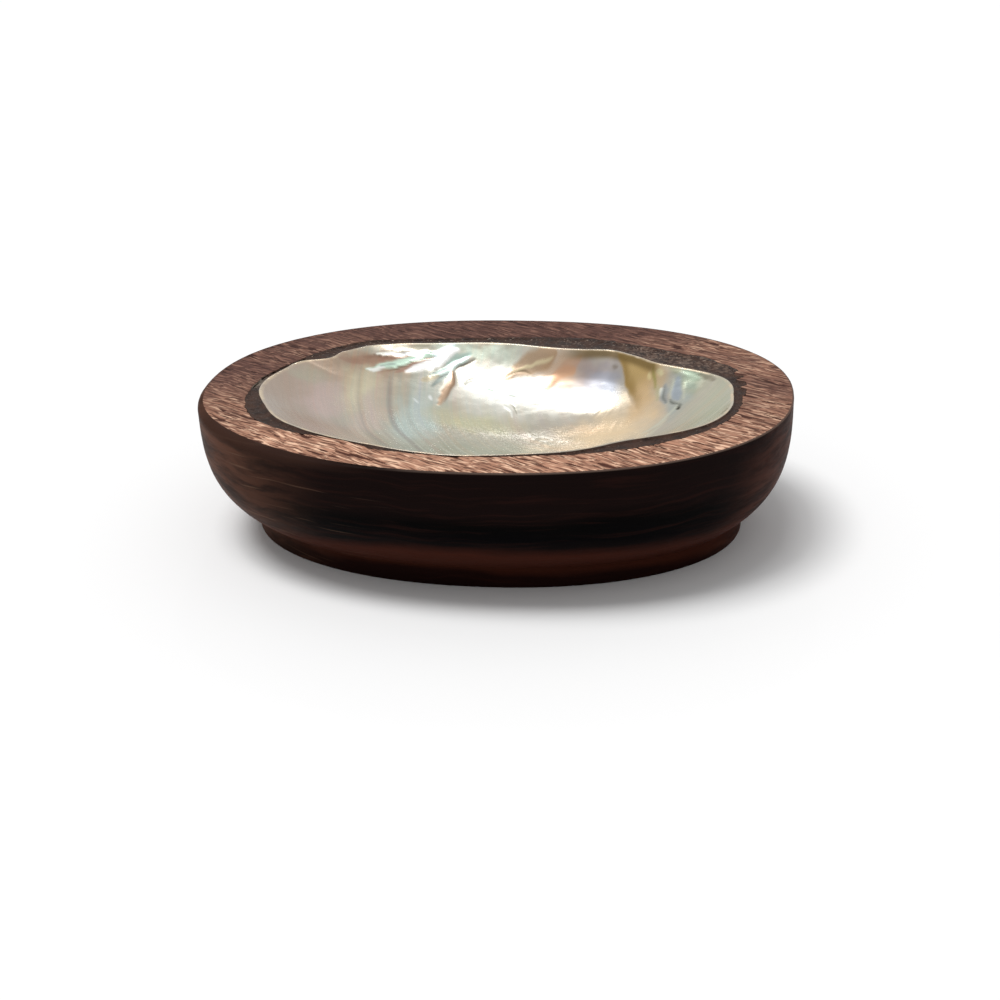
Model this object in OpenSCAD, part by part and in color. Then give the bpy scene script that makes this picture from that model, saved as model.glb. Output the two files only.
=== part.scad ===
// Small oval dish carved from one block of dark wood, with half a mussel shell
// bedded in dark resin as its lining.
// Origin: centre of the face that it rests on. +X runs along the bowl, +Y to its back, +Z up.

/* [Bowl] */
// Length over the rim, in mm
bowl_length = 125; // [110:1:150]
// Width over the rim
bowl_width = 88; // [78:1:110]
// Height from the table to the flat rim
bowl_height = 30; // [27:0.5:40]
// Roundness of the rim's outline: 2 is an ellipse, more is squarer
rim_squareness = 2.23; // [2:0.01:2.6]
// How late the wall turns under: 2 is a round belly, more is a steeper wall
wall_steepness = 3.2; // [2:0.1:5]

/* [Rim] */
// Width of the wooden rim at the two ends
rim_at_ends = 10.5; // [8:0.1:13]
// Width of the wooden rim along the two sides, before the recess is moved forward
rim_at_sides = 11; // [9:0.1:13]
// How far the recess sits towards the front, so that the front rim is the narrower one
recess_forward = 2.4; // [0:0.1:4]
// Width of the sanded arris around the rim, at its narrowest
arris = 0.5; // [0.3:0.1:1.2]
// How much wider the arris is at the left end than at the right end
arris_left_extra = 1.8; // [0:0.1:2.4]

/* [Foot] */
// Length of the flat foot
foot_length = 105.5; // [80:0.5:110]
// Width of the flat foot
foot_width = 66; // [50:0.5:72]
// Height of the foot's upright band
foot_height = 4.5; // [2:0.1:6]
// How far the belly stands out over the foot
foot_overhang = 0.9; // [0.4:0.1:3]

/* [Shell] */
// Depth of the shell's hollow below the rim, at its deepest place
hollow_depth = 14; // [9:0.5:15]
// Thickness of the shell
shell_thickness = 1.6; // [1:0.1:2.4]
// Turn of the shell in its recess, clockwise seen from above, in degrees
shell_turn = 2.9; // [0:0.1:3.5]
// How far the hollow's deepest place lies towards the right end
hollow_right = 14; // [0:1:20]

/* [Resin bed] */
// Width of the resin line between shell and wood, at the two ends
resin_at_ends = 1.6; // [1.4:0.1:4]
// Width of the resin line along the two sides, before the shell is moved forward
resin_at_sides = 1.8; // [1.7:0.1:4]
// Thickness of the resin under the shell
resin_under = 1.4; // [0.8:0.1:3]

/* [Hidden] */

sides = 72;
wall_rings = 12;
hollow_rings = 12;
foot_squareness = 2.11;
recess_squareness = 2.35;
shell_squareness = 2;
// Exponent of the hollow's section, from its deepest place to its edge
hollow_round = 2.2;
// Size of the small flat that closes the hollow at its deepest place, as a part of its edge
hollow_flat = 0.06;
// Width of the shell's ground edge, as a part of its thickness
edge_share = 0.75;
// How far the foot's prism runs up inside the body, so that the two are one solid
foot_root = 1.5;
// Places of the recess and of the shell in plan, and of the deepest place of the hollow
recess_centre = [0.4, -recess_forward];
shell_centre = recess_centre + [-0.5, -1];
deepest = [hollow_right, 0];

rim_half = [bowl_length, bowl_width] / 2;
foot_half = [foot_length, foot_width] / 2;
recess_half = rim_half - [rim_at_ends, rim_at_sides];
shell_half = recess_half - [resin_at_ends, resin_at_sides];
edge_width = shell_thickness * edge_share;
shell_depth = hollow_depth + shell_thickness;
recess_depth = shell_depth + resin_under;

function mix(a, b, t) = a + (b - a) * t;

// One level outline: a superellipse with its half lengths, its centre, its turn and its height
function oval(half, squareness, centre, z, turn = 0) = [
    for (i = [0 : sides - 1])
        let (
            a = 360 * i / sides,
            x = half.x * sign(cos(a)) * pow(abs(cos(a)), 2 / squareness),
            y = half.y * sign(sin(a)) * pow(abs(sin(a)), 2 / squareness)
        )
        [centre.x + x * cos(turn) - y * sin(turn), centre.y + x * sin(turn) + y * cos(turn), z]
];

// Outlines of a hollow, from its edge at the rim down to its deepest place
function hollow(half, squareness, centre, depth, turn = 0) = [
    for (k = [0 : hollow_rings])
        let (t = mix(1, hollow_flat, k / hollow_rings))
        oval(half * t, squareness, mix(deepest, centre, t),
            bowl_height - depth * (1 - pow(t, hollow_round)), turn)
];

// Outlines of the outer wall, from the foot up to the lower edge of the arris
function wall() = [
    for (k = [0 : wall_rings])
        let (
            down = 1 - k / wall_rings,
            inset = pow(down, wall_steepness),
            belly = foot_half + [foot_overhang, foot_overhang]
        )
        oval(mix(rim_half, belly, inset), mix(rim_squareness, foot_squareness, inset),
            [0, 0], mix(bowl_height - arris, foot_height, down))
];

function reversed(list) = [for (i = [len(list) - 1 : -1 : 0]) list[i]];

recess_rings = hollow(recess_half, recess_squareness, recess_centre, recess_depth);
shell_back_rings = hollow(shell_half, shell_squareness, shell_centre, shell_depth, -shell_turn);
shell_face_rings = hollow(shell_half - [edge_width, edge_width],
    shell_squareness, shell_centre, hollow_depth, -shell_turn);

// Skin over a list of outlines, closed by a flat face at each end
module loft(rings) {
    last = len(rings) - 1;
    polyhedron(
        points = [for (ring = rings) each ring],
        faces = concat(
            [[for (i = [0 : sides - 1]) i]],
            [for (r = [0 : last - 1], i = [0 : sides - 1])
                let (j = (i + 1) % sides)
                [r * sides + i, (r + 1) * sides + i, (r + 1) * sides + j, r * sides + j]],
            [[for (i = [sides - 1 : -1 : 0]) last * sides + i]]
        ),
        convexity = 4
    );
}

// Flat top of the rim, inside the arris
rim_flat = oval(rim_half - [arris + arris_left_extra / 2, arris], rim_squareness,
    [arris_left_extra / 2, 0], bowl_height);

// Carved block with its recess, on a flat foot
module wooden_bowl() {
    color([0.29, 0.17, 0.13]) {
        loft(concat(wall(), [rim_flat], recess_rings));
        linear_extrude(foot_height + foot_root)
            polygon([for (p = oval(foot_half, foot_squareness, [0, 0], 0)) [p.x, p.y]]);
    }
}

// Dark filler that holds the shell and shows as a ring around it
module resin_bed() {
    color([0.24, 0.18, 0.15])
        loft(concat(reversed(recess_rings), shell_back_rings));
}

// Thin dished shell, its edge ground flush with the rim
module pearl_shell() {
    color([0.88, 0.86, 0.76])
        loft(concat(reversed(shell_back_rings), shell_face_rings));
}

wooden_bowl();
resin_bed();
pearl_shell();
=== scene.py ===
"""The looks of an oval wooden bowl lined with a mother-of-pearl shell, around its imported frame.

Lengths are in millimetres, except that the frame, the finished meshes, the camera and the floor
are in metres. The axes are the frame's: +X to the end where the shell is deepest, +Y to the back,
+Z up, with the origin under the foot.
"""
import math

import bpy
import numpy as np
from mathutils import Matrix, Vector


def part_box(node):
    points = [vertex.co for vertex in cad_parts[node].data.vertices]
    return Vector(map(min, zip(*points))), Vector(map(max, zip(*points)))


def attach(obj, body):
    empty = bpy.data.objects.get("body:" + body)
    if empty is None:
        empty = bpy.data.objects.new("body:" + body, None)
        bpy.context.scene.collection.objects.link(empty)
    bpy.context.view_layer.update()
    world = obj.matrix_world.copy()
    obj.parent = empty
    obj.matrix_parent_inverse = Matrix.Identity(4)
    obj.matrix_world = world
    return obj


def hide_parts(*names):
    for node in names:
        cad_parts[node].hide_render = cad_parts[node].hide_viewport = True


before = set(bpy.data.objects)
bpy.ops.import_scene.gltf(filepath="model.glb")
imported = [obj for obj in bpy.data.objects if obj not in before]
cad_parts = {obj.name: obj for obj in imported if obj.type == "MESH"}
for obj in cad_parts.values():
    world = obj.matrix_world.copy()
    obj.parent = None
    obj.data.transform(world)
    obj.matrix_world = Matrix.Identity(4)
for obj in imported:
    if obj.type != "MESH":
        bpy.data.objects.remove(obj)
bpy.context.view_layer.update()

MM = 0.001

# ---------------------------------------------------------------- sizes, from the frame


def node_box(name):
    """Lowest and highest corner of a CAD node, in mm."""
    low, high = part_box(name)
    return np.array(low) / MM, np.array(high) / MM


def half_and_centre(name):
    """Half the length and width of a CAD node, and its centre in plan, in mm."""
    low, high = node_box(name)
    return (high - low)[:2] / 2, (high + low)[:2] / 2


RIM_HALF, _ = half_and_centre("wooden_bowl")
HEIGHT = node_box("wooden_bowl")[1][2]
RECESS_HALF, RECESS_CENTRE = half_and_centre("resin_bed")
RECESS_FLOOR = node_box("resin_bed")[0][2]
SHELL_HALF, SHELL_CENTRE = half_and_centre("pearl_shell")
SHELL_FLOOR = node_box("pearl_shell")[0][2]

# These repeat the driving dimensions of the part's source.
RIM_SQUARENESS = 2.23
RECESS_SQUARENESS = 2.35
SHELL_SQUARENESS = 2.0
SHELL_TURN = math.radians(-2.9)
HOLLOW_ROUND = 2.2
DEEPEST = np.array([14.0, 0.0])
SHELL_THICKNESS = 1.6
FOOT_HALF = np.array([52.75, 33.0])
FOOT_SQUARENESS = 2.11
FOOT_HEIGHT = 4.5
FOOT_OVERHANG = 0.9
WALL_STEEPNESS = 3.2

# The finer shape, which only the looks have. First, points around the wood and around the shell
AROUND_WOOD = 1280
AROUND_SHELL = AROUND_WOOD // 2
# Width of the arris at its narrowest, what it gains at its broadest, where that is in angle, and
# how quickly it narrows away from there
ARRIS_WIDTH = 0.45
ARRIS_EXTRA = 2.3
ARRIS_BROADEST = math.radians(224)
ARRIS_FOCUS = 14
# How far the resin sinks below the rim between its two edges
RESIN_SINK = 0.22
# How far the recess goes straight down at its edge before it curves in
RECESS_LIP = 0.9
# Width of the shell's ground edge
SHELL_EDGE = 0.45
# Fractions of its radius at which the back of the shell has a ring
SHELL_BACK_STEPS = (0.05, 0.2, 0.35, 0.5, 0.65, 0.78, 0.86, 0.92, 0.97, 0.985)
# Least width of the resin line
THINNEST_RESIN = 0.3
# Numbers of rings in the lofts
BELLY_STEPS = 21
ARRIS_STEPS = 5
RIM_RINGS = 33
RESIN_RINGS = 16
SHELL_RINGS = 114
# Fractions of a hollow's radius at which its unseen floor has a ring
FLOOR_STEPS = (0.97, 0.85, 0.65, 0.4, 0.06)
# Direction of the wood's grain, from +X
GRAIN_ANGLE = math.radians(-30)
# The shell's beak, from which it grew, and the crease that runs forward from beside it
BEAK = np.array([28.0, 20.0])
CREASE_TOP = np.array([25.3, 21.0])
CREASE_FOOT = np.array([29.3, 12.0])
# Depth of the pocket to the left of the crease, and how far to its right the pocket runs out
POCKET_DEPTH = 1.5
POCKET_REACH = 4.2
# Middle of the one ragged glint on the shell's floor, and of a low swelling right of the crease
GLINT = (9.4, 3.2)
SHELF = (38, 10)
# Direction of the fine folds at the back left
FLAME_ANGLE = math.radians(33)
# Lines where the shell's growth paused: distance from the beak and depth of the groove
GROWTH_GROOVES = ((54.5, 0.06), (61.0, 0.04), (46.5, 0.03))
GROOVE_WIDTH = 0.7
# Darker lines of the same kind: distance from the beak and strength
GROWTH_SHADES = ((54.5, 0.42), (61.0, 0.22), (50.5, 0.14))
GROWTH_SHADE_WIDTH = 1.1

# Where the two cut outlines swell out of their ovals, or draw in: direction from the centre and
# half width of the swelling, both in degrees, and mm outward
RECESS_SWELLS = (
    (17, 7, 1.0),
    (62, 30, 2.1),
    (139, 11, 2.6),
    (165, 7, -1.2),
    (224, 13, -2.9),
    (268, 18, 0.9),
    (332, 20, -1.0),
)
SHELL_SWELLS = (
    (12, 8, 2.2),
    (30, 8, -2.0),
    (50, 6, 1.2),
    (70, 20, -1.8),
    (138, 12, 2.5),
    (154, 4, -1.6),
    (161, 4, 1.2),
    (190, 10, -1.2),
    (264, 20, 1.4),
    (325, 14, -2.8),
)

# ---------------------------------------------------------------- noise, colours and outlines

LATTICE_SIDE = 64
LATTICE = np.random.default_rng(11).random((LATTICE_SIDE, LATTICE_SIDE, LATTICE_SIDE))
# Moves between seeds and away from negative cells
SEED_STEP = 7.31
LATTICE_START = 200
# Points on an outline while it is being measured
FINE_RIM_POINTS = 20001
FINE_EDGE_ANGLES = np.linspace(0, 2 * math.pi, 3601)[:-1]


def noise(points, size, seed=0):
    """Smooth noise from -1 to 1 at points in mm. size is the length of a cell, or one per axis."""
    p = points / np.asarray(size, float) + SEED_STEP * seed + LATTICE_START
    cell = np.floor(p).astype(int)
    f = p - cell
    f = f * f * (3 - 2 * f)
    total = np.zeros(len(p))
    for corner in np.ndindex(2, 2, 2):
        weight = np.prod(np.where(corner, f, 1 - f), axis=1)
        i, j, k = ((cell + corner) % LATTICE_SIDE).T
        total += weight * LATTICE[i, j, k]
    return total * 2 - 1


def smooth(x):
    """A soft step from 0 at x = 0 to 1 at x = 1."""
    x = np.clip(x, 0, 1)
    return x * x * (3 - 2 * x)


def mix(a, b, t):
    return a + (b - a) * t


def srgb(red, green, blue):
    """A colour given as 0 to 255 on a screen, as the linear colour that shaders take."""
    def linear(v):
        v /= 255
        if v <= 0.04045:
            return v / 12.92
        return ((v + 0.055) / 1.055) ** 2.4
    return (linear(red), linear(green), linear(blue), 1.0)


def along_grain(points, length, width):
    """Points turned so that the first axis runs along the wood's grain, in cells of that size."""
    c, s = math.cos(GRAIN_ANGLE), math.sin(GRAIN_ANGLE)
    along = points[:, 0] * c + points[:, 1] * s
    across = points[:, 1] * c - points[:, 0] * s
    return np.stack([along / length, across / width, points[:, 2] / width], 1)


def oval(half, squareness, centre, angles, turn=0.0):
    """A superellipse; a squareness of 2 is an ellipse, and more is squarer."""
    c, s = np.cos(angles), np.sin(angles)
    x = half[0] * np.sign(c) * np.abs(c) ** (2 / squareness)
    y = half[1] * np.sign(s) * np.abs(s) ** (2 / squareness)
    ct, st = math.cos(turn), math.sin(turn)
    return np.stack([centre[0] + x * ct - y * st, centre[1] + x * st + y * ct], 1)


def even_angles(count):
    """Angles at which the points of the rim's outline are evenly spaced."""
    fine = np.linspace(0, 2 * math.pi, FINE_RIM_POINTS)
    path = oval(RIM_HALF, RIM_SQUARENESS, (0, 0), fine)
    run = np.concatenate([[0], np.cumsum(np.hypot(*np.diff(path, axis=0).T))])
    return np.interp(np.arange(count) * run[-1] / count, run, fine)


def raised(outline, z):
    """A plan outline as a ring at height z."""
    return np.column_stack([outline, np.broadcast_to(z, len(outline))])


def directions_from(path, centre):
    return np.arctan2(path[:, 1] - centre[1], path[:, 0] - centre[0])


def swollen_oval(half, squareness, centre, swells, turn=0.0):
    """An oval moved in and out by the swells."""
    path = oval(half, squareness, centre, FINE_EDGE_ANGLES, turn)
    direction = directions_from(path, centre)
    shift = np.zeros(len(path))
    for where, half_width, outward in swells:
        away = (np.degrees(direction) - where + 180) % 360 - 180
        shift += outward * np.exp(-(away / half_width) ** 2)
    return path + shift[:, None] * np.stack([np.cos(direction), np.sin(direction)], 1)


def reach(path, directions):
    """Distance of a closed path from the recess's centre, in each of the directions."""
    distance = np.hypot(*(path - RECESS_CENTRE).T)
    return np.interp(directions, directions_from(path, RECESS_CENTRE), distance, period=2 * math.pi)


def at_reach(directions, distance):
    return RECESS_CENTRE + distance[:, None] * np.stack([np.cos(directions), np.sin(directions)], 1)


def even_shell_edge(directions):
    """The plain oval that the shell's edge departs from."""
    path = oval(SHELL_HALF, SHELL_SQUARENESS, SHELL_CENTRE, FINE_EDGE_ANGLES, SHELL_TURN)
    return at_reach(directions, reach(path, directions))


def shell_edge(directions):
    """The shell's outer edge, slightly uneven as a natural shell's is."""
    path = swollen_oval(SHELL_HALF, SHELL_SQUARENESS, SHELL_CENTRE, SHELL_SWELLS, SHELL_TURN)
    distance = reach(path, directions)
    flat = raised(at_reach(directions, distance), 0.0)
    uneven = 0.10 * noise(flat, 6.0, 7) + 0.07 * noise(flat, 1.8, 8)
    chipped = smooth((flat[:, 1] - 8) / 8) * smooth((-22 - flat[:, 0]) / 8)
    uneven += chipped * 0.4 * noise(flat, 2.4, 9)
    return at_reach(directions, distance + uneven)


def recess_edge(directions):
    """The recess's edge at the rim, torn in steps along the grain, most of all at the back right."""
    path = swollen_oval(RECESS_HALF, RECESS_SQUARENESS, RECESS_CENTRE, RECESS_SWELLS)
    distance = reach(path, directions)
    flat = raised(at_reach(directions, distance), 0.0)
    torn = 0.12 + 0.85 * smooth((flat[:, 0] - 14) / 14) * smooth((flat[:, 1] + 6) / 14)
    step = noise(along_grain(flat, 7.0, 1.2), 1.0, 3) + 0.5 * noise(along_grain(flat, 4.0, 0.7), 1.0, 4)
    step = np.clip(2.2 * step, -1, 1)
    loose = 0.12 * noise(flat, 5.0, 5) + 0.08 * noise(flat, 1.4, 6)
    least = np.hypot(*(shell_edge(directions) - RECESS_CENTRE).T) + THINNEST_RESIN
    return at_reach(directions, np.maximum(distance + torn * step + loose, least))


def rim_directions(count):
    """Directions from the recess's centre to points spaced evenly along the rim's outline."""
    return directions_from(oval(RIM_HALF, RIM_SQUARENESS, (0, 0), even_angles(count)), RECESS_CENTRE)


def right_of_fold(xy):
    """Distance to the right of the crease that runs forward from under the shell's lip."""
    run = CREASE_FOOT - CREASE_TOP
    axis = run / np.hypot(*run)
    return (xy - CREASE_TOP) @ np.array([-axis[1], axis[0]])


def pocket(xy):
    """Depth of the pocket under the beak, full to the left of the crease and none well right of it."""
    rise = np.clip((POCKET_REACH - right_of_fold(xy)) / POCKET_REACH, 0, 1)
    depth = 1 - np.cos(math.pi / 2 * rise)
    depth *= np.exp(-(np.minimum(xy[:, 0] - 21.0, 0) / 8.5) ** 2)
    return POCKET_DEPTH * depth * smooth((xy[:, 1] - 5.0) / 9.0)


def hollow_height(xy, t, depth):
    """Height of a hollow's wall where it is t of the way from its deepest place to its edge."""
    return HEIGHT - depth * (1 - t ** HOLLOW_ROUND) - pocket(xy) * smooth((1 - t) / 0.16)


def hollow_ring(edge, t, depth, even_edge=None):
    """A ring of a hollow, which takes the shape of the even edge further in, if there is one."""
    if even_edge is not None:
        edge = mix(even_edge, edge, smooth((t - 0.8) / 0.2))
    path = mix(DEEPEST, edge, t)
    return np.column_stack([path, hollow_height(path, t, depth)])


# ---------------------------------------------------------------- meshes


def loft(name, rings, materials, material_of_ring):
    """A closed mesh through rings of equal length, with a flat face at each end."""
    count = len(rings[0])
    points = np.concatenate(rings) * MM
    i = np.arange(count)
    j = (i + 1) % count
    quads = np.concatenate([
        np.stack([r * count + i, r * count + j, (r + 1) * count + j, (r + 1) * count + i], 1)
        for r in range(len(rings) - 1)
    ])
    faces = quads.tolist()
    faces.append(i[::-1].tolist())
    faces.append((i + (len(rings) - 1) * count).tolist())
    mesh = bpy.data.meshes.new(name)
    mesh.from_pydata(points.tolist(), [], faces)
    slots = np.repeat([material_of_ring(r) for r in range(len(rings) - 1)], count).tolist()
    slots += [material_of_ring(0), material_of_ring(len(rings) - 2)]
    mesh.polygons.foreach_set("material_index", slots)
    mesh.polygons.foreach_set("use_smooth", [True] * len(quads) + [False, False])
    for material in materials:
        mesh.materials.append(material)
    mesh.update()
    piece = bpy.data.objects.new(name, mesh)
    bpy.context.collection.objects.link(piece)
    return piece


def add_attribute(piece, name, values, kind="FLOAT"):
    """Values at the mesh's points, which a material can read by that name."""
    layer = piece.data.attributes.new(name, kind, "POINT")
    field = "value" if kind == "FLOAT" else "color"
    layer.data.foreach_set(field, np.asarray(values, np.float32).ravel())


def build_wood(side_wood, rim_wood):
    """The carved block, ring by ring from the foot up, over the rim and down into the recess."""
    angles = even_angles(AROUND_WOOD)
    ends = np.abs(np.cos(angles))
    belly = FOOT_HALF + FOOT_OVERHANG
    outer = oval(RIM_HALF, RIM_SQUARENESS, (0, 0), angles)
    inward = -outer / np.hypot(*outer.T)[:, None]
    broad = (0.5 + 0.5 * np.cos(angles - ARRIS_BROADEST)) ** ARRIS_FOCUS
    arris_width = ARRIS_WIDTH + ARRIS_EXTRA * broad
    arris_drop = 0.35 + 0.55 * ARRIS_EXTRA * broad
    rings, on_rim = [], []

    def add(ring, is_rim=False):
        rings.append(ring)
        on_rim.append(is_rim)

    # Foot: base, softened lower edge and upright band
    for inset, z in ((0.9, 0.0), (0.35, 0.0), (0.1, 0.12), (0.0, 0.4), (0.0, 2.0)):
        add(raised(oval(FOOT_HALF - inset, FOOT_SQUARENESS, (0, 0), angles), z))
    # Cove between foot and belly, sharpest at the right end
    low = oval(FOOT_HALF, FOOT_SQUARENESS, (0, 0), angles)
    high = oval(belly, FOOT_SQUARENESS, (0, 0), angles)
    right = smooth(np.cos(angles))[:, None]
    for rise, out in ((-1.3, 0.0), (-0.55, 0.04), (-0.2, 0.35), (0.05, 0.75)):
        spread = mix(1.0, 0.45, ends ** 2)
        flare = mix(math.sqrt(out) if out else 0.15, out, right)
        add(np.column_stack([mix(low, high, flare), FOOT_HEIGHT + rise * spread]))
    # Belly, up to the arris
    for k in range(BELLY_STEPS + 1):
        down = 1 - k / BELLY_STEPS
        inset = down ** WALL_STEEPNESS
        squareness = mix(RIM_SQUARENESS, FOOT_SQUARENESS, inset)
        path = oval(mix(RIM_HALF, belly, inset), squareness, (0, 0), angles)
        add(np.column_stack([path, mix(HEIGHT - arris_drop, FOOT_HEIGHT + 0.25, down)]))
    # Arris: a rounded chamfer, broad at the front left
    for k in range(1, ARRIS_STEPS):
        a = math.pi / 2 * k / ARRIS_STEPS
        path = outer + inward * (arris_width * (1 - math.cos(a)))[:, None]
        add(np.column_stack([path, HEIGHT - arris_drop * (1 - math.sin(a))]))
    # Flat rim, from the arris to the recess
    rim_edge = outer + inward * arris_width[:, None]
    edge = recess_edge(directions_from(outer, RECESS_CENTRE))
    for t in np.linspace(0, 1, RIM_RINGS):
        add(raised(mix(rim_edge, edge, t), HEIGHT), True)
    # Recess, which the resin fills
    recess_depth = HEIGHT - RECESS_FLOOR
    add(hollow_ring(edge, 1.0, recess_depth) - [0, 0, RECESS_LIP])
    for t in FLOOR_STEPS:
        add(hollow_ring(edge, t, recess_depth))

    # Relief: grooves of the open pores on the rim, and the unevenness of a hand-sanded wall
    points = np.concatenate(rings)
    ring_of = np.repeat(np.arange(len(rings)), AROUND_WOOD)
    rim = np.repeat(on_rim, AROUND_WOOD)
    wavy = points + 0.7 * np.stack([noise(points, 11.0, s) for s in (15, 16, 17)], 1)
    streak = noise(along_grain(wavy, 4.4, 0.55), 1.0, 1)
    streak = streak + 0.7 * noise(along_grain(wavy, 3.0, 0.42), 1.0, 2)
    pore = smooth((streak - 0.42) / 0.5) * rim
    ridge = 0.07 * noise(along_grain(wavy, 6.0, 0.9), 1.0, 13)
    fade = np.where(ring_of == on_rim.index(True), 0.3, 1.0)
    deep = mix(1.0, 0.5, smooth((points[:, 1] - 5) / 25))
    points[:, 2] += np.where(rim, (-0.2 * pore + ridge) * fade * deep - 0.07, 0.0)
    wall = (points[:, 2] > FOOT_HEIGHT) & (ring_of < on_rim.index(True))
    outward = points[:, :2] / np.hypot(*points[:, :2].T)[:, None]
    uneven = 0.14 * noise(points, 24.0, 14)
    uneven = uneven + 0.02 * noise(along_grain(points, 9.0, 1.4), 1.0, 18) - 0.15
    points[:, :2] += outward * np.where(wall, uneven, 0.0)[:, None]
    piece = loft("bowl_block", np.split(points, len(rings)), [side_wood, rim_wood],
                 lambda r: int(on_rim[r] and on_rim[r + 1]))
    add_attribute(piece, "pore", pore)
    add_attribute(piece, "broad_arris", np.tile(broad, len(rings)))
    return piece


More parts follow.
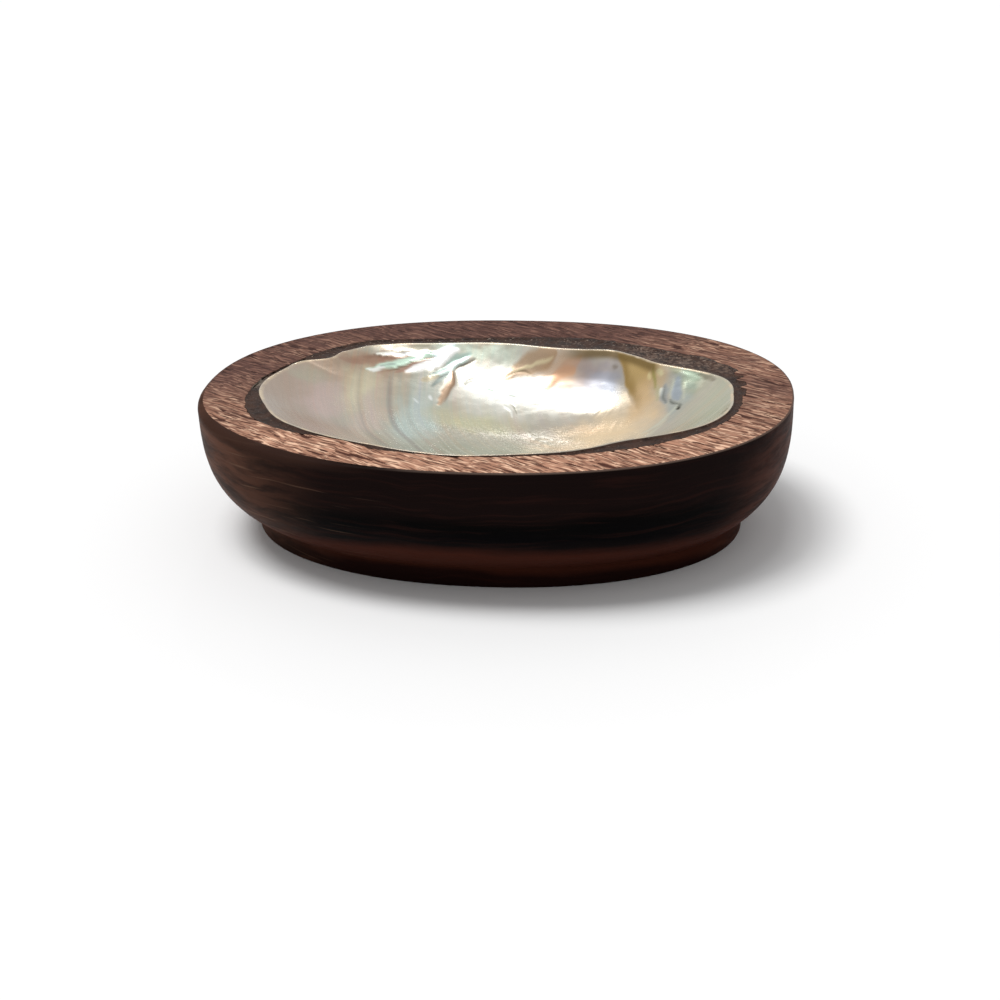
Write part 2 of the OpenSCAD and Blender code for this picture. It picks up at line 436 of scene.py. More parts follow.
# Folds and stains on the shell's face, each shaped as a long leaf: start, end, half width, bow to
# the left of its length and height, all in mm, then its colour on a screen and its strength
# The palest leaves, on raised folds, are painted highlights; the darkest, in grooves and the pit, are
# painted shade; the rest are the shell's own stains.
LEAVES = (
    ((-38.0, 16.6), (-20.5, 24.6), 1.3, 0.7, 0.0, (160, 122, 102), 0.5),
    ((-33.0, 20.2), (-20.0, 24.6), 0.8, 0.4, 0.0, (140, 104, 82), 0.55),
    ((-24.8, 25.3), (-11.8, 27.6), 0.7, 0.2, 0.0, (134, 130, 108), 0.7),
    ((-30.4, 22.3), (-24.0, 23.6), 0.5, 0.5, 0.12, (255, 255, 244), 1.0),
    ((-25.2, 23.5), (-17.6, 24.5), 0.5, 0.5, 0.12, (250, 255, 255), 1.0),
    ((-19.0, 24.4), (-12.8, 26.2), 0.5, -0.3, 0.10, (232, 250, 255), 0.9),
    ((-31.0, 21.7), (-27.4, 22.6), 0.25, 0.2, -0.05, (92, 70, 40), 0.8),
    ((-31.6, 17.0), (-17.3, 25.0), 1.05, 0.5, 0.16, (210, 238, 218), 0.95),
    ((-31.4, 17.1), (-28.2, 18.9), 0.6, 0.0, 0.0, (255, 255, 250), 0.9),
    ((-29.2, 18.8), (-25.4, 21.4), 0.24, 0.1, -0.03, (150, 164, 160), 0.7),
    ((-28.6, 17.5), (-16.4, 24.2), 0.36, 0.6, -0.10, (112, 82, 58), 0.85),
    ((-25.8, 18.1), (-15.8, 24.2), 0.9, 0.3, 0.0, (168, 130, 112), 0.8),
    ((-23.4, 18.9), (-11.8, 25.6), 1.25, 0.1, 0.20, (255, 255, 252), 1.0),
    ((-20.2, 21.2), (-15.8, 23.3), 0.18, 0.1, -0.03, (176, 180, 170), 0.6),
    ((-17.8, 19.6), (-9.4, 25.0), 0.5, 0.2, -0.10, (142, 156, 146), 0.9),
    ((-14.3, 22.8), (-8.8, 25.3), 0.8, 0.0, -0.04, (176, 202, 192), 0.75),
    ((-17.7, 19.2), (-9.6, 24.0), 0.8, 0.0, 0.14, (232, 252, 244), 0.95),
    ((-12.1, 21.5), (-7.8, 24.0), 0.36, 0.2, -0.14, (92, 84, 70), 0.9),
    ((-9.8, 18.8), (-7.5, 20.5), 0.26, 0.1, -0.08, (120, 124, 116), 0.8),
    ((-19.3, 17.6), (-15.3, 20.0), 0.7, 0.1, 0.0, (196, 178, 140), 0.6),
    ((-16.8, 16.9), (-12.6, 21.2), 0.55, 0.3, -0.05, (134, 150, 146), 0.8),
    # The spur: a raised fold with a painted highlight along its crest and a painted brown shade line on
    # its right side
    ((-12.4, 21.4), (-14.4, 12.3), 0.95, 0.2, 0.30, (204, 170, 140), 0.9),
    ((-13.0, 20.5), (-14.7, 15.8), 0.5, 0.0, 0.0, (255, 244, 224), 0.85),
    ((-12.2, 21.4), (-13.2, 13.4), 0.22, 0.3, -0.03, (132, 98, 66), 0.75),
    ((-16.8, 14.2), (-15.9, 13.4), 0.35, 0.0, 0.03, (250, 252, 250), 0.8),
    ((-20.2, 12.4), (-18.6, 11.8), 0.35, 0.0, 0.03, (236, 242, 240), 0.7),
    ((-1.4, 21.0), (10.4, 24.3), 1.7, 0.9, 0.12, (176, 140, 102), 0.75),
    ((-1.4, 21.0), (5.4, 22.4), 0.3, 0.8, -0.05, (104, 84, 52), 0.8),
    ((1.0, 22.4), (9.6, 24.0), 0.3, 0.5, 0.05, (236, 222, 180), 0.7),
    ((5.6, 18.6), (15.0, 22.2), 1.2, 0.4, 0.08, (216, 164, 124), 0.7),
    ((9.0, 21.4), (16.4, 23.0), 0.8, 0.2, 0.0, (196, 152, 122), 0.5),
    ((3.4, 20.0), (8.4, 21.0), 0.4, 0.1, 0.0, (150, 124, 96), 0.5),
    ((-4.6, 18.9), (1.6, 19.8), 0.6, 0.2, -0.06, (158, 190, 176), 0.75),
    ((-1.6, 17.5), (4.6, 18.2), 0.45, 0.1, -0.05, (170, 192, 182), 0.6),
    ((-0.2, 15.3), (2.0, 11.6), 0.35, 0.4, 0.05, (250, 252, 244), 0.7),
    ((0.8, 15.4), (3.0, 12.4), 0.2, 0.3, -0.04, (156, 156, 138), 0.7),
    ((19.0, 20.7), (25.4, 19.2), 0.6, 0.1, 0.0, (158, 160, 172), 0.5),
    ((23.4, 21.2), (24.8, 20.5), 0.35, 0.0, -0.06, (112, 96, 72), 0.5),
    ((33.0, 16.6), (33.3, 12.8), 0.32, 0.1, 0.14, (150, 148, 66), 0.7),
    ((31.7, 15.6), (32.6, 14.6), 0.4, 0.0, 0.04, (240, 226, 170), 0.6),
    ((33.8, 14.9), (34.9, 13.9), 0.4, 0.0, 0.04, (234, 230, 184), 0.6),
    ((34.4, 12.2), (35.4, 10.6), 0.45, 0.0, 0.08, (250, 252, 240), 0.8),
    ((35.0, 16.0), (39.0, 13.8), 0.8, 0.1, 0.08, (236, 234, 196), 0.8),
    ((35.5, 12.6), (36.3, 8.0), 0.8, -0.2, 0.05, (146, 154, 158), 0.7),
    ((35.5, 12.0), (36.4, 8.0), 0.2, -0.3, -0.08, (104, 110, 104), 0.8),
    ((37.2, 12.2), (37.4, 8.4), 0.3, 0.0, 0.08, (222, 222, 196), 0.5),
    ((38.2, 12.0), (38.6, 7.2), 1.0, 0.0, 0.0, (156, 166, 178), 0.75),
    ((39.8, 11.0), (39.7, 6.6), 0.35, 0.0, 0.08, (216, 214, 188), 0.5),
    ((37.1, 8.8), (38.2, 6.6), 0.22, -0.2, -0.08, (88, 92, 84), 0.8),
    ((38.1, 6.8), (39.3, 5.7), 0.22, 0.0, -0.08, (88, 92, 84), 0.8),
    # Painted shade: a near-black dab in the small pit
    ((38.2, 5.9), (39.1, 5.0), 0.45, 0.0, -0.20, (44, 40, 22), 0.95),
    ((36.3, 14.4), (38.8, 12.6), 0.6, 0.0, 0.0, (150, 150, 108), 0.5),
    ((33.7, 13.2), (34.4, 9.8), 0.5, 0.0, 0.0, (178, 178, 138), 0.5),
    ((41.4, 12.4), (44.8, 9.6), 0.4, 0.2, 0.0, (124, 138, 118), 0.6),
    ((39.2, 13.2), (43.0, 10.2), 1.1, 0.3, -0.06, (140, 158, 138), 0.7),
    ((40.4, 10.4), (42.2, 8.4), 0.8, 0.2, 0.0, (152, 168, 152), 0.6),
    ((42.6, 11.6), (46.8, 8.2), 0.5, 0.2, -0.10, (118, 106, 86), 0.6),
    ((47.7, -9.4), (49.0, -8.1), 0.5, 0.0, -0.05, (118, 92, 56), 0.9),
    ((31.5, 2.0), (38.6, 6.6), 0.5, -0.8, 0.05, (206, 208, 190), 0.6),
    ((28.6, -1.4), (36.6, 3.8), 0.4, -0.8, 0.04, (206, 206, 186), 0.5),
    ((24.0, -6.0), (33.6, -0.8), 0.4, -0.8, 0.03, (204, 204, 184), 0.5),
)


def leaf(xy, start, end, width, bow):
    """How far places lie inside a long leaf: 1 in its middle, 0 at its outline, less outside."""
    start, end = np.array(start), np.array(end)
    length = np.hypot(*(end - start))
    axis = (end - start) / length
    t = np.clip((xy - start) @ axis / length, 0, 1)
    across = (xy - start) @ np.array([-axis[1], axis[0]]) - bow * 4 * t * (1 - t)
    beyond = np.abs((xy - start) @ axis - t * length)
    half = width * np.sqrt(4 * t * (1 - t))
    return (half - np.hypot(across, beyond)) / width


def leaf_heights(xy):
    """Height of the folds over the smooth dish."""
    total = np.zeros(len(xy))
    for start, end, width, bow, height, _, _ in LEAVES:
        total += height * smooth((leaf(xy, start, end, width, bow) + 0.4) / 1.2)
    return total


def paint_stains_and_light(xy, gap):
    """Colours of the leaves (stains, painted highlights and painted shade), the gold fold and the lip's
    painted shadow: red, green and blue times cover, and cover.
    """
    layer = np.zeros((len(xy), 4))

    def paint(cover, colour):
        new = np.array([*srgb(*colour)[:3], 1.0])
        layer[:] = layer * (1 - cover[:, None]) + new * cover[:, None]

    # The gold fold, to the right of the crease and darkest along it
    right = right_of_fold(xy)
    forward = smooth((xy[:, 1] - 9.5) / 7.0)
    fold = smooth(right / 0.5 + 0.5) * smooth((9.0 - right) / 5.0) * forward
    paint(0.6 * fold, (212, 178, 122))
    paint(0.75 * fold * smooth((xy[:, 1] - 13.5) / 4.0), (196, 164, 98))
    paint(0.7 * fold * smooth((1.9 - right) / 1.4), (150, 120, 60))
    # The leaves, the later ones over the earlier ones
    for start, end, width, bow, _, colour, strength in LEAVES:
        cover = leaf(xy, start, end, width, bow) * width / (0.35 + 0.3 * width)
        paint(strength * smooth(cover + 0.45), colour)
    # The lip: painted shadow, an olive line just inside the edge under the overhanging lip, at the back
    # right
    lip_shadow = smooth((xy[:, 1] - 9.0) / 4.0) * smooth((xy[:, 0] - 9.0) / 9.0)
    lip_shadow = lip_shadow * smooth((35.0 - xy[:, 0]) / 2.0)
    paint(0.85 * lip_shadow * smooth((1.5 - gap) / 0.8), (116, 92, 42))
    return layer


def growth_distance(xy):
    """Distance from the beak, bent a little, so that equal distances are growth lines."""
    from_beak = xy - BEAK
    return np.hypot(from_beak[:, 0], 1.15 * from_beak[:, 1]) + 1.1 * noise(raised(xy, 0.0), 11.0, 21)


def radial(xy):
    """Direction from the beak, in steps that are about a millimetre long near the highlight."""
    return np.arctan2(xy[:, 1] - BEAK[1], BEAK[0] - xy[:, 0]) * 14


def shell_relief(xy, t):
    """Height added to the smooth dish: folds, growth lines, fine hatching near the beak and waves."""
    flat = raised(xy, 0.0)
    distance = growth_distance(xy)
    lines = np.column_stack([distance / 1.4, xy[:, 1] / 50, 0 * distance])
    growth = 0.011 * noise(lines, 1.0, 27) * smooth(0.6 + noise(flat, 8.0, 28))
    for line, depth in GROWTH_GROOVES:
        growth -= depth * np.exp(-((distance - line) / GROOVE_WIDTH) ** 2)
    growth *= smooth((distance - 14) / 14) * (1 - 0.7 * smooth((distance - 60) / 12))
    hatch = np.column_stack([radial(xy), distance / 7, 0 * distance])
    near = smooth((distance - 7) / 5) * smooth((38 - distance) / 18)
    growth += near * (0.034 * noise(hatch, 1.1, 29) + 0.014 * noise(hatch, 0.6, 30))
    c, s = math.cos(FLAME_ANGLE), math.sin(FLAME_ANGLE)
    along, across = xy[:, 0] * c + xy[:, 1] * s, xy[:, 1] * c - xy[:, 0] * s
    flame = np.column_stack([along / 7.0, across / 1.3, 0 * distance])
    back = smooth((xy[:, 1] - 13) / 6) * smooth((6 - xy[:, 0]) / 8) * smooth((xy[:, 0] + 36) / 8)
    growth += back * 0.04 * noise(flame, 1.0, 34)
    glint = np.exp(-(((xy[:, 0] - GLINT[0]) / 2.2) ** 2 + ((xy[:, 1] - GLINT[1]) / 1.5) ** 2) ** 2)
    growth += glint * 0.09 * noise(flat, 1.3, 35)
    shelf = 0.35 * np.exp(-(((xy[:, 0] - SHELF[0]) / 5.5) ** 2 + ((xy[:, 1] - SHELF[1]) / 6.0) ** 2))
    waves = 0.04 * noise(flat, 12.0, 22) + 0.016 * noise(flat, 4.5, 23)
    return smooth((1 - t) / 0.05) * (leaf_heights(bent(xy)) + growth + shelf + waves)


def bent(xy):
    """Places moved about a little, so that the leaves are not drawn with a ruler."""
    flat = raised(xy, 0.0)
    drift = 0.5 * np.stack([noise(flat, 3.0, 25), noise(flat, 3.0, 26)], 1)
    return xy + drift + 0.22 * np.stack([noise(flat, 1.1, 36), noise(flat, 1.1, 37)], 1)


def build_shell(nacre):
    """The shell: its back, its ground edge and its face, with the marks that the nacre reads."""
    directions = rim_directions(AROUND_SHELL)
    outer, even = shell_edge(directions), even_shell_edge(directions)
    inward = DEEPEST - outer
    inward /= np.hypot(*inward.T)[:, None]
    inner = outer + inward * SHELL_EDGE
    depth = HEIGHT - SHELL_FLOOR
    rings = [hollow_ring(outer, t, depth, even) for t in SHELL_BACK_STEPS]
    rings.append(raised(outer, HEIGHT - 0.12))
    rings.append(raised(mix(outer, inner, 0.2), HEIGHT - 0.01))
    rings.append(raised(mix(outer, inner, 0.85), HEIGHT - 0.01))
    first_cut, cut_rings = len(rings) - 2, 3
    count = len(rings) * AROUND_SHELL
    stain_and_light_layers, growth = [np.zeros((count, 4))], [np.zeros(count)]
    for t in 1 - np.linspace(0.002, 0.985, SHELL_RINGS):
        ring = hollow_ring(inner, t, depth - SHELL_THICKNESS, even + inward * SHELL_EDGE)
        relief = shell_relief(ring[:, :2], t)
        gap = np.hypot(*(inner - ring[:, :2]).T)
        stain_and_light_layers.append(paint_stains_and_light(bent(ring[:, :2]), gap))
        growth.append(growth_distance(ring[:, :2]))
        rings.append(ring + np.column_stack([0 * relief, 0 * relief, relief - 0.03]))
    piece = loft("shell_valve", rings, [nacre], lambda r: 0)
    edge = np.zeros((len(rings), AROUND_SHELL))
    edge[first_cut:first_cut + cut_rings] = 1
    add_attribute(piece, "cut_edge", edge)
    add_attribute(piece, "growth", np.concatenate(growth))
    add_attribute(piece, "stain_and_light", np.concatenate(stain_and_light_layers), "FLOAT_COLOR")
    return piece


def build_resin(resin):
    """The filler between the recess and the back of the shell, with a sunken gritty top."""
    directions = rim_directions(AROUND_SHELL)
    edge, outer = recess_edge(directions), shell_edge(directions)
    rings = [hollow_ring(edge, t, HEIGHT - RECESS_FLOOR) for t in FLOOR_STEPS[::-1]]
    for s in np.linspace(0, 1, RESIN_RINGS):
        path = mix(edge, outer, s)
        flat = raised(path, 0.0)
        middle = smooth(min(s, 1 - s) * 4)
        grit = 0.07 * noise(flat, 0.8, 31) + 0.06 * noise(flat, 2.4, 32)
        level = HEIGHT - 0.08 - RESIN_SINK * middle + grit * (0.2 + middle)
        rings.append(np.column_stack([path, level]))
    even = even_shell_edge(directions)
    rings += [hollow_ring(outer, t, HEIGHT - SHELL_FLOOR, even) for t in SHELL_BACK_STEPS[::-1]]
    return loft("resin_fill", rings, [resin], lambda r: 0)


# ---------------------------------------------------------------- material helpers


class Tree:
    """Short ways to make shader nodes. Lengths inside a material are in mm."""

    def __init__(self, name):
        self.material = bpy.data.materials.new(name)
        self.material.use_nodes = True
        self.tree = self.material.node_tree
        self.shader = self.tree.nodes["Principled BSDF"]
        place = self.tree.nodes.new("ShaderNodeTexCoord")
        self.place = self.vector("SCALE", place.outputs["Object"], scale=1 / MM)

    def put(self, socket, value):
        """Link a node's output to the socket, or set the socket to a plain value."""
        if isinstance(value, bpy.types.NodeSocket):
            self.tree.links.new(value, socket)
        else:
            socket.default_value = value

    def new(self, kind, inputs, **settings):
        """A node with its settings, and its inputs linked or set."""
        made = self.tree.nodes.new(kind)
        for key, value in settings.items():
            setattr(made, key, value)
        for key, value in inputs.items():
            self.put(made.inputs[key], value)
        return made

    def vector(self, operation, a, b=(0, 0, 0), scale=1.0):
        made = self.new("ShaderNodeVectorMath", {0: a, 1: b, 3: scale}, operation=operation)
        return made.outputs["Value" if operation in ("DOT_PRODUCT", "LENGTH") else "Vector"]

    def math(self, operation, a, b=0.0):
        return self.new("ShaderNodeMath", {0: a, 1: b}, operation=operation).outputs[0]

    def span(self, value, low, high, to_low=0.0, to_high=1.0):
        """The value taken smoothly from low..high to to_low..to_high, and held beyond them."""
        inputs = {0: value, 1: low, 2: high, 3: to_low, 4: to_high}
        return self.new("ShaderNodeMapRange", inputs, interpolation_type="SMOOTHSTEP").outputs[0]

    def mix(self, factor, a, b, blend="MIX"):
        made = self.new("ShaderNodeMix", {0: factor, 6: a, 7: b}, data_type="RGBA", blend_type=blend)
        return made.outputs[2]

    def noise(self, where, size, detail=3.0, rough=0.55):
        """Cloudy noise from 0 to 1, in cells of that size."""
        inputs = {"Vector": where, "Scale": 1 / size, "Detail": detail, "Roughness": rough}
        return self.new("ShaderNodeTexNoise", inputs).outputs["Fac"]

    def ramp(self, factor, stops):
        made = self.new("ShaderNodeValToRGB", {0: factor})
        line = made.color_ramp
        while len(line.elements) < len(stops):
            line.elements.new(0.5)
        for element, (position, colour) in zip(line.elements, stops):
            element.position = position
            element.color = colour
        return made.outputs["Color"]

    def attribute(self, name, output="Fac"):
        return self.new("ShaderNodeAttribute", {}, attribute_name=name).outputs[output]

    def axis(self, which):
        return self.new("ShaderNodeSeparateXYZ", {0: self.place}).outputs[which]

    def warped(self, size, shift):
        """Coordinates pushed about by up to half of shift, in swirls of that size."""
        drift = self.new("ShaderNodeTexNoise", {"Vector": self.place, "Scale": 1 / size, "Detail": 2.0})
        push = self.vector("SUBTRACT", drift.outputs["Color"], (0.5, 0.5, 0.5))
        return self.vector("ADD", self.place, self.vector("SCALE", push, scale=shift))

    def grain(self, where, length, width):
        """Coordinates stretched along the wood's grain, in cells of that length and width."""
        c, s = math.cos(GRAIN_ANGLE), math.sin(GRAIN_ANGLE)
        along = self.vector("DOT_PRODUCT", where, (c / length, s / length, 0))
        across = self.vector("DOT_PRODUCT", where, (-s / width, c / width, 0))
        up = self.vector("DOT_PRODUCT", where, (0, 0, 1 / width))
        return self.new("ShaderNodeCombineXYZ", {0: along, 1: across, 2: up}).outputs[0]

    def bump(self, height, depth, strength):
        inputs = {"Strength": strength, "Distance": depth * MM, "Height": height}
        return self.new("ShaderNodeBump", inputs).outputs[0]

    def shade(self, **inputs):
        for key, value in inputs.items():
            self.put(self.shader.inputs[key.replace("_", " ")], value)
        return self.material


# ---------------------------------------------------------------- materials


def make_rim_wood():
    """Rough, open-pored top of the rim, left unpolished, with painted light: paler in front than at the
    back.
    """
    m = Tree("rim_wood")
    wavy = m.warped(14.0, 3.6)
    fibre = m.noise(m.grain(wavy, 7.0, 0.5), 1.0, 3.0, 0.6)
    ridge = m.noise(m.grain(wavy, 5.4, 0.55), 1.0, 2.0)
    pits = m.noise(m.grain(wavy, 4.0, 0.42), 1.0, 1.0)
    cloud = m.noise(m.grain(wavy, 16.0, 5.0), 1.0, 2.0)
    # Painted light: paler towards the front and darker towards the back, less so at the right and the
    # ends; clouds add the wood's own tone
    light_and_tone = m.math("ADD", m.axis(1), m.span(cloud, 0.3, 0.7, -9.0, 9.0))
    rightward = m.math("MULTIPLY", m.math("MAXIMUM", m.math("SUBTRACT", m.axis(0), 8.0), 0.0), 0.65)
    light_and_tone = m.math("SUBTRACT", light_and_tone, m.math("MULTIPLY", rightward, m.span(m.axis(1), 4.0, 24.0)))
    leftward = m.math("MULTIPLY", m.math("MINIMUM", m.math("ADD", m.axis(0), 12.0), 0.0), 0.4)
    light_and_tone = m.math("ADD", light_and_tone, m.math("MULTIPLY", leftward, m.span(m.axis(1), 8.0, 24.0)))
    light_and_tone = m.math("ADD", light_and_tone, m.span(m.axis(0), -34.0, -56.0, 0.0, 15.0))
    light_and_tone = m.math("ADD", light_and_tone, m.span(m.axis(0), 34.0, 56.0, 0.0, 6.0))
    back = m.span(light_and_tone, -34.0, 30.0)
    pale = m.mix(back, srgb(236, 194, 164), srgb(128, 92, 78))
    middle = m.mix(back, srgb(184, 136, 111), srgb(98, 66, 57))
    dark = m.mix(back, srgb(80, 44, 32), srgb(64, 40, 34))
    colour = m.mix(m.span(fibre, 0.42, 0.60), middle, m.mix(0.55, middle, dark))
    colour = m.mix(m.span(ridge, 0.50, 0.64), colour, pale)
    pits = m.span(pits, 0.56, 0.63)
    grooves = m.span(m.attribute("pore"), 0.15, 0.7)
    colour = m.mix(m.math("MAXIMUM", grooves, m.math("MULTIPLY", pits, 0.8)), colour, dark)
    height = m.math("SUBTRACT", m.math("ADD", ridge, m.math("MULTIPLY", fibre, -0.7)), pits)
    normal = m.bump(height, 0.2, 0.8)
    return m.shade(Base_Color=colour, Roughness=0.78, Specular_IOR_Level=0.22, Normal=normal)


def make_side_wood():
    """Dark heartwood of the wall, arris and foot, sanded to a satin polish."""
    m = Tree("side_wood")
    wander = m.noise(m.vector("MULTIPLY", m.place, (0.35, 0.5, 0.9)), 12.0, 3.0)
    level = m.math("ADD", m.axis(2), m.span(wander, 0.25, 0.75, -1.2, 1.2))
    level = m.math("ADD", level, m.math("MULTIPLY", m.math("ABSOLUTE", m.axis(0)), 0.03))
    bands = m.ramp(m.math("DIVIDE", level, HEIGHT), (
        (0.00, srgb(22, 9, 8)),
        (0.11, srgb(28, 12, 9)),
        (0.17, srgb(56, 26, 17)),
        (0.36, srgb(58, 26, 17)),
        (0.46, srgb(10, 5, 5)),
        (0.52, srgb(1, 0, 1)),
        (0.64, srgb(2, 1, 1)),
        (0.75, srgb(20, 10, 9)),
        (1.00, srgb(20, 11, 10)),
    ))
    level_lines = m.vector("MULTIPLY", m.warped(20.0, 5.0), (1 / 22.0, 1 / 22.0, 1.0))
    streak = m.noise(level_lines, 1.0, 4.0, 0.6)
    colour = m.mix(m.span(streak, 0.48, 0.72, 0.0, 0.25), bands, srgb(54, 26, 20))
    left = m.span(m.axis(0), -24.0, -56.0)
    ends = m.noise(m.vector("MULTIPLY", m.warped(12.0, 5.0), (0.22, 0.22, 1.3)), 3.2, 4.0, 0.6)
    brown = m.mix(m.span(ends, 0.35, 0.65), srgb(54, 36, 28), srgb(96, 63, 49))
    colour = m.mix(m.math("MULTIPLY", left, 0.85), colour, brown)
    # Browner at the lower right end: brown wood with a painted reflection of warm light over it
    right = m.math("ADD", m.axis(0), m.math("MULTIPLY", m.axis(2), -0.35))
    right = m.span(right, 41.0, 58.0, 0.0, 0.9)
    brown = m.mix(m.span(ends, 0.35, 0.65), srgb(50, 27, 21), srgb(92, 54, 42))
    colour = m.mix(right, colour, brown)
    level_threads = m.vector("MULTIPLY", m.warped(30.0, 4.0), (1 / 20.0, 1 / 20.0, 1 / 0.6))
    thread = m.span(m.noise(level_threads, 1.0, 1.0), 0.64, 0.74, 0.0, 0.4)
    thread = m.math("MULTIPLY", thread, m.span(m.axis(0), -8.0, -34.0))
    colour = m.mix(thread, colour, srgb(110, 84, 68))
    # The arris: dark and smooth where it is broad; elsewhere a pale line of sanded wood with a painted
    # highlight along the edge
    arris = m.span(m.axis(2), HEIGHT - 0.40, HEIGHT - 0.12)
    broad = m.attribute("broad_arris")
    worn = m.math("MULTIPLY", arris, m.span(broad, 0.0, 0.35, 0.55, 0.0))
    colour = m.mix(worn, colour, srgb(118, 98, 88))
    smoothed = m.span(m.axis(2), HEIGHT - 2.4, HEIGHT - 0.8)
    smoothed = m.math("MULTIPLY", smoothed, m.span(broad, 0.2, 0.8))
    colour = m.mix(m.math("MULTIPLY", smoothed, 0.85), colour, srgb(50, 33, 27))
    pores = m.noise(m.vector("MULTIPLY", m.place, (1 / 3.0, 1 / 3.0, 1 / 0.18)), 1.0, 2.0)
    rough = m.span(pores, 0.3, 0.75, 0.42, 0.58)
    normal = m.bump(m.span(pores, 0.5, 0.8), 0.04, 0.35)
    return m.shade(Base_Color=colour, Roughness=rough, Specular_IOR_Level=0.02, Normal=normal)


def make_resin():
    """Dark filler with sawdust and glittering grit in it, and a clearer patch at the left end."""
    m = Tree("dark_resin")
    cloud = m.noise(m.place, 3.0, 4.0, 0.6)
    colour = m.mix(m.span(cloud, 0.35, 0.65), srgb(40, 26, 20), srgb(66, 46, 37))
    away = m.vector("SUBTRACT", m.place, (-51.5, 0.0, HEIGHT))
    away = m.vector("LENGTH", m.vector("MULTIPLY", away, (0.5, 0.2, 0.3)))
    clear = m.math("MULTIPLY", m.span(away, 0.3, 1.2, 0.8, 0.0), m.span(cloud, 0.35, 0.6))
    colour = m.mix(clear, colour, srgb(128, 118, 106))
    # At the back right it is mottled with pale dust
    dust = m.noise(m.warped(3.0, 3.0), 1.3, 4.0, 0.65)
    there = m.math("MULTIPLY", m.span(m.axis(0), 20.0, 30.0), m.span(m.axis(1), 8.0, 14.0))
    dust = m.math("MULTIPLY", m.span(dust, 0.46, 0.62, 0.0, 0.55), there)
    colour = m.mix(dust, colour, srgb(128, 106, 92))
    grit = m.noise(m.place, 0.5, 2.0)
    back = m.span(m.axis(1), 8.0, 26.0, 0.25, 1.0)
    specks = m.math("MULTIPLY", m.span(grit, 0.62, 0.72), back)
    colour = m.mix(specks, colour, srgb(150, 132, 118))
    normal = m.bump(grit, 0.10, 0.6)
    return m.shade(Base_Color=colour, Roughness=m.span(cloud, 0.3, 0.7, 0.32, 0.5),
                   Specular_IOR_Level=0.10, Normal=normal)


# Soft patches of colour on the shell, one of them a painted highlight: centre, reach along X and Y in
# mm, colour and strength
PATCHES = (
    ((-46.0, 2.0), (12.0, 22.0), (180, 160, 146), 0.9),
    ((-38.0, 16.0), (10.0, 8.0), (178, 150, 130), 0.8),
    ((-37.5, 2.0), (6.0, 11.0), (206, 182, 178), 0.7),
    ((-31.0, 19.5), (9.0, 4.0), (164, 128, 108), 0.75),
    ((-43.0, 9.0), (4.0, 4.0), (182, 180, 160), 0.5),
    ((-31.5, 9.0), (4.5, 9.0), (222, 212, 184), 0.7),
    ((-27.5, 0.0), (4.0, 15.0), (204, 186, 176), 0.8),
    ((-18.5, 6.0), (6.0, 15.0), (194, 206, 202), 0.9),
    ((-6.0, 8.5), (11.0, 4.5), (208, 204, 172), 0.7),
    ((24.0, 6.0), (12.0, 9.0), (240, 214, 176), 0.9),
    ((6.0, -10.0), (30.0, 12.0), (154, 158, 144), 0.8),
    ((-33.0, -13.0), (12.0, 9.0), (180, 156, 146), 0.7),
    ((-14.0, -14.0), (14.0, 8.0), (158, 162, 152), 0.6),
    # Painted highlight: a near-white patch across the back of the hollow, where the softbox's reflection
    # lies
    ((1.0, 18.0), (19.0, 8.0), (236, 236, 230), 0.9),
    ((20.0, 20.5), (7.0, 4.0), (164, 154, 158), 0.9),
    ((22.5, 18.0), (4.5, 4.0), (156, 162, 176), 0.8),
    ((11.5, 21.5), (7.5, 3.4), (208, 172, 142), 0.75),
    ((-8.0, 26.0), (14.0, 2.2), (216, 228, 214), 0.8),
    ((31.0, 12.0), (5.0, 6.0), (222, 186, 138), 0.7),
    ((38.5, 9.0), (3.5, 6.0), (168, 178, 176), 0.8),
    ((42.0, 11.0), (4.0, 4.0), (156, 170, 148), 0.8),
    ((47.0, -1.0), (8.0, 14.0), (188, 188, 168), 0.8),
)


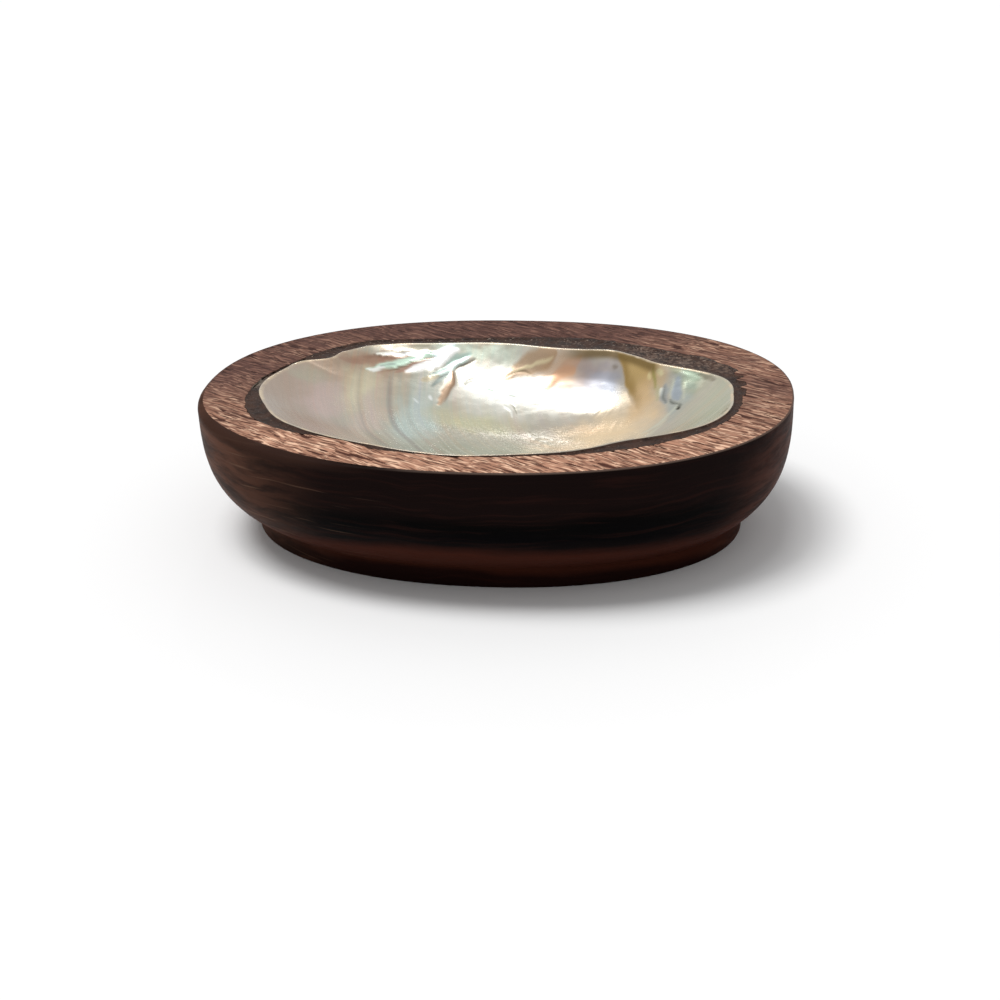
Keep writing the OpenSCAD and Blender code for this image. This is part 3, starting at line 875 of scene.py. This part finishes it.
def make_nacre():
    """Mother-of-pearl: a grey-cream ground with soft clouds of pink, green, blue and gold, a painted
    highlight, and painted highlights and shade on the folds from the mesh.
    """
    m = Tree("mother_of_pearl")
    flat = m.vector("MULTIPLY", m.warped(6.0, 8.0), (1, 1, 0))
    colour = srgb(186, 178, 165)
    for (x, y), (reach_x, reach_y), tint, strength in PATCHES:
        away = m.vector("SUBTRACT", flat, (x, y, 0))
        away = m.vector("MULTIPLY", away, (1 / reach_x, 1 / reach_y, 0))
        factor = m.span(m.vector("LENGTH", away), 0.2, 1.25, strength, 0.0)
        colour = m.mix(factor, colour, srgb(*tint))
    # Growth bands run around the beak, with the colours of the layers they cut
    distance = m.attribute("growth")
    along = m.math("MULTIPLY", m.axis(1), 0.05)
    around = m.new("ShaderNodeCombineXYZ", {0: distance, 1: along}).outputs[0]
    band = m.noise(around, 2.6, 4.0, 0.65)
    rainbow = m.ramp(band, (
        (0.30, srgb(206, 160, 166)),
        (0.42, srgb(212, 204, 172)),
        (0.50, srgb(172, 196, 184)),
        (0.58, srgb(214, 212, 194)),
        (0.70, srgb(168, 174, 200)),
    ))
    layered = m.span(distance, 14.0, 34.0, 0.10, 0.42)
    layered = m.math("MULTIPLY", layered, m.span(distance, 76.0, 60.0, 0.3, 1.0))
    colour = m.mix(layered, colour, rainbow, "SOFT_LIGHT")
    fine = m.noise(around, 0.8, 2.0, 0.5)
    front = m.math("MULTIPLY", m.span(m.axis(1), 10.0, -12.0), m.span(distance, 74.0, 56.0, 0.3, 1.0))
    pale = m.math("MULTIPLY", m.span(fine, 0.52, 0.66, 0.0, 0.35), front)
    colour = m.mix(pale, colour, srgb(222, 218, 202))
    dark = m.math("MULTIPLY", m.span(fine, 0.46, 0.34, 0.0, 0.22), front)
    colour = m.mix(dark, colour, srgb(140, 134, 124))
    for line, strength in GROWTH_SHADES:
        away = m.math("ABSOLUTE", m.math("SUBTRACT", distance, line))
        near = m.span(away, 0.0, GROWTH_SHADE_WIDTH, strength, 0.0)
        near = m.math("MULTIPLY", near, m.span(m.axis(1), 20.0, 13.0))
        colour = m.mix(near, colour, srgb(132, 114, 114))
    # Stains, painted highlights and painted shade carried by the mesh: their cover, and their colour
    # already multiplied by it
    colour = m.mix(m.attribute("stain_and_light", "Alpha"), colour, (0, 0, 0, 1))
    colour = m.mix(1.0, colour, m.attribute("stain_and_light", "Color"), "ADD")
    worn = m.span(m.noise(m.place, 5.0, 2.0), 0.45, 0.6, 0.25, 0.95)
    colour = m.mix(m.math("MULTIPLY", m.attribute("cut_edge"), worn), colour, srgb(222, 202, 172))
    silk = m.noise(m.vector("MULTIPLY", m.place, (0.6, 1.4, 1.0)), 1.6, 3.0, 0.55)
    scar = m.vector("MULTIPLY", m.vector("SUBTRACT", flat, (18.5, 20.5, 0)), (1 / 9.0, 1 / 5.0, 0))
    scar = m.span(m.vector("LENGTH", scar), 0.4, 1.1, 0.14, 0.0)
    rough = m.math("ADD", m.span(silk, 0.3, 0.7, 0.20, 0.32), scar)
    height = m.math("ADD", m.math("MULTIPLY", band, 0.6), m.math("MULTIPLY", silk, 0.1))
    normal = m.bump(height, 0.03, 0.4)
    return m.shade(Base_Color=colour, Metallic=0.36, Roughness=rough, Normal=normal, Coat_Weight=0.4,
                   Coat_Roughness=0.14, Specular_IOR_Level=0.4)


# ---------------------------------------------------------------- the object

block = build_wood(make_side_wood(), make_rim_wood())
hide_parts("wooden_bowl")
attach(block, "root")

fill = build_resin(make_resin())
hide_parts("resin_bed")
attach(fill, "root")

valve = build_shell(make_nacre())
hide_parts("pearl_shell")
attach(valve, "root")

# ---------------------------------------------------------------- floor, light and camera


def make_floor():
    mesh = bpy.data.meshes.new("floor")
    reach = 12.0
    corners = [(-reach, -reach, 0), (reach, -reach, 0), (reach, reach, 0), (-reach, reach, 0)]
    mesh.from_pydata(corners, [], [(0, 1, 2, 3)])
    floor = bpy.data.objects.new("floor", mesh)
    bpy.context.collection.objects.link(floor)
    m = Tree("pale_floor")
    mesh.materials.append(m.shade(Base_Color=(0.9, 0.9, 0.9, 1), Roughness=0.9, Specular_IOR_Level=0.05))


def add_sun(name, towards, width, power):
    """Even light from one part of the sky, which spans that width in degrees."""
    data = bpy.data.lights.new(name, "SUN")
    data.angle = math.radians(width)
    data.energy = power
    light = bpy.data.objects.new(name, data)
    light.rotation_euler = Vector(towards).to_track_quat("Z", "Y").to_euler()
    bpy.context.collection.objects.link(light)


def add_camera():
    """The photograph's viewing angle: close by, a little above the bowl and right of its middle."""
    distance, elevation, side = 0.300, math.radians(21.0), math.radians(10.1)
    heading, pitch, roll = math.radians(9.96), math.radians(25.58), math.radians(-2.34)
    data = bpy.data.cameras.new("camera")
    data.sensor_width = 36.0
    data.lens = 51.1
    camera = bpy.data.objects.new("camera", data)
    reach = distance * math.cos(elevation)
    place = Vector((reach * math.sin(side), -reach * math.cos(side),
                    HEIGHT * MM + distance * math.sin(elevation)))
    turn = (Matrix.Rotation(heading, 4, "Z") @ Matrix.Rotation(math.pi / 2 - pitch, 4, "X")
            @ Matrix.Rotation(roll, 4, "Z"))
    camera.matrix_world = Matrix.Translation(place) @ turn
    bpy.context.collection.objects.link(camera)
    bpy.context.scene.camera = camera


def add_world(strength):
    world = bpy.data.worlds.new("studio")
    world.use_nodes = True
    back = world.node_tree.nodes["Background"]
    back.inputs["Color"].default_value = (1, 1, 1, 1)
    back.inputs["Strength"].default_value = strength
    bpy.context.scene.world = world


make_floor()
add_world(strength=0.52)
add_sun("softbox_left", (-0.36, -0.05, 1.0), width=22.0, power=1.55)
add_sun("softbox_right", (-0.08, -0.05, 1.0), width=15.0, power=0.52)
add_sun("lamp", (-0.11, 0.78, 0.62), width=3.0, power=0.035)
add_camera()
bpy.context.scene.view_settings.view_transform = "Standard"
